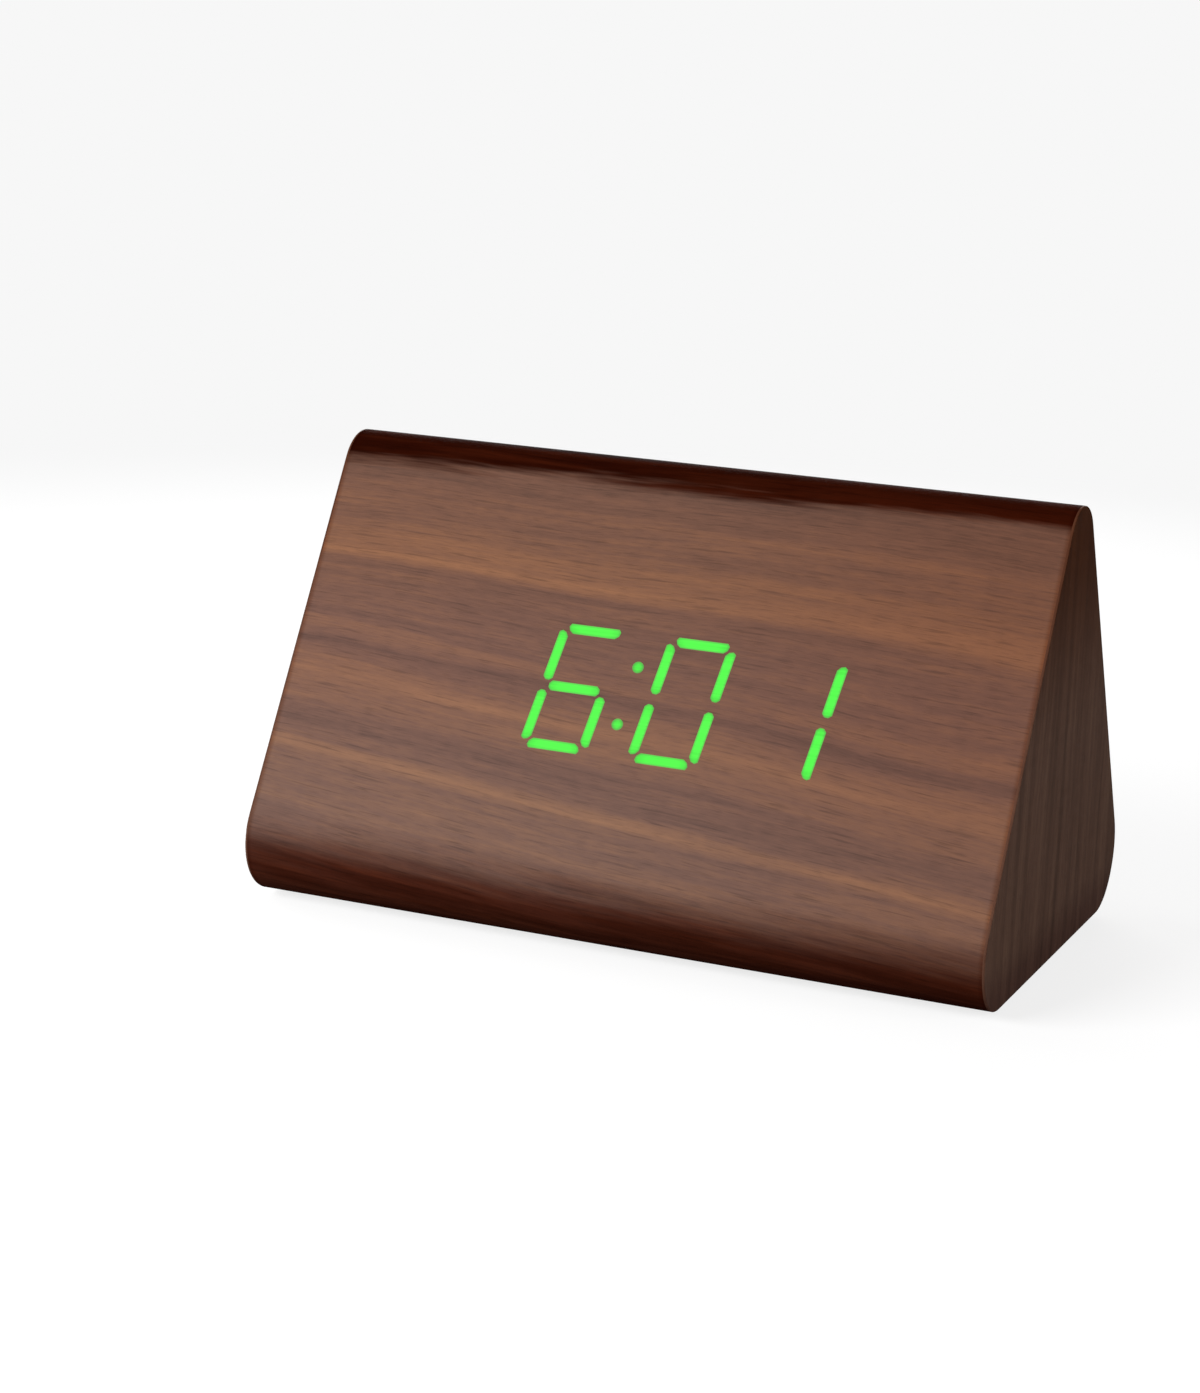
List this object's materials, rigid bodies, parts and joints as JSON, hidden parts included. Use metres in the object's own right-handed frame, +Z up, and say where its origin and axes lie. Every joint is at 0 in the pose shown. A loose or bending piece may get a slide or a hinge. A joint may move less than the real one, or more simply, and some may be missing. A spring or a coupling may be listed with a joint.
{
  "type": "alarm clock",
  "caption": "Triangular prism desk alarm clock in walnut veneer, digits shining through the front slope, rear panel with battery bay and buttons.",
  "frame": {"origin": "on the resting surface under the middle of the clock, at the bottom of its feet", "axes": "+X along the clock, to the right of someone who faces the display; +Z up; the display slope faces -Y"},
  "size_m": [0.15, 0.0918, 0.0886],
  "materials": {
    "walnut_veneer": "walnut veneer, satin",
    "fibreboard": "raw fibreboard",
    "black_rubber": "matt",
    "black_plastic": "fine moulded texture",
    "button_plastic": "satin",
    "zinc_screw": "zinc plated",
    "white_reflector": "matt white",
    "lit_diffuser": "glowing green epoxy",
    "dark_diffuser": "milky epoxy, unlit",
    "led_chip": "encapsulated",
    "circuit_board": "solder mask",
    "chip_case": "moulded epoxy",
    "tinned_metal": "tinned",
    "capacitor_sleeve": "shrink sleeve",
    "resistor_ceramic": "thick film chip",
    "nickel_contact": "nickel plated spring steel",
    "cell_can": "nickel plated",
    "cell_sleeve": "plain sleeve",
    "header_plastic": "ivory",
    "ribbon_insulation": "grey",
    "red_insulation": "red",
    "black_insulation": "black",
    "socket_steel": "tinned shell",
    "socket_insulator": "black"
  },
  "bodies": {
    "case": {"front_wall": "fibreboard", "rear_wall": "fibreboard", "base_wall": "fibreboard", "left_end_panel": "fibreboard", "right_end_panel": "fibreboard", "case_veneer": "walnut_veneer", "left_end_veneer": "walnut_veneer", "right_end_veneer": "walnut_veneer", "rubber_feet": "black_rubber", "display_reflector": "white_reflector", "lit_segment_diffusers": "lit_diffuser", "unlit_segment_diffusers": "dark_diffuser", "segment_leds": "led_chip", "display_board": "circuit_board", "board_spacers": "header_plastic", "board_screws": "zinc_screw", "controller_chip": "chip_case", "driver_chip": "chip_case", "chip_leads": "tinned_metal", "clock_crystal": "tinned_metal", "filter_capacitors": "capacitor_sleeve", "chip_resistors": "resistor_ceramic", "rear_panel": "black_plastic", "panel_screws": "zinc_screw", "cell_cans": "cell_can", "cell_sleeves": "cell_sleeve", "positive_contact": "nickel_contact", "negative_contact": "nickel_contact", "bridge_contacts": "nickel_contact", "contact_springs": "nickel_contact", "control_board": "circuit_board", "control_board_screws": "zinc_screw", "switch_bodies": "chip_case", "sounder": "chip_case", "power_socket_shell": "socket_steel", "power_socket_tongue": "socket_insulator", "display_cable_header": "header_plastic", "control_cable_header": "header_plastic", "ribbon_cable": "ribbon_insulation", "battery_lead_red": "red_insulation", "battery_lead_black": "black_insulation"},
    "battery_door": {"battery_door": "black_plastic"},
    "set_button": {"set_button": "button_plastic", "set_switch_plunger": "socket_insulator"},
    "up_button": {"up_button": "button_plastic", "up_switch_plunger": "socket_insulator"},
    "down_button": {"down_button": "button_plastic", "down_switch_plunger": "socket_insulator"}
  },
  "joints": [
    {"name": "battery_door_hinge", "type": "hinge", "parent": "case", "child": "battery_door", "pos_m": [0, 0.03732, 0.0308], "axis": [-1, 0, 0], "range_deg": [0, 75]},
    {"name": "set_button_press", "type": "slide", "parent": "case", "child": "set_button", "axis": [0, -0.8727, -0.4883], "range_m": [0, 0.0003], "stiffness_N_per_m": 1500, "springref_m": -0.0005},
    {"name": "up_button_press", "type": "slide", "parent": "case", "child": "up_button", "axis": [0, -0.8727, -0.4883], "range_m": [0, 0.0003], "stiffness_N_per_m": 1500, "springref_m": -0.0005},
    {"name": "down_button_press", "type": "slide", "parent": "case", "child": "down_button", "axis": [0, -0.8727, -0.4883], "range_m": [0, 0.0003], "stiffness_N_per_m": 1500, "springref_m": -0.0005}
  ]
}
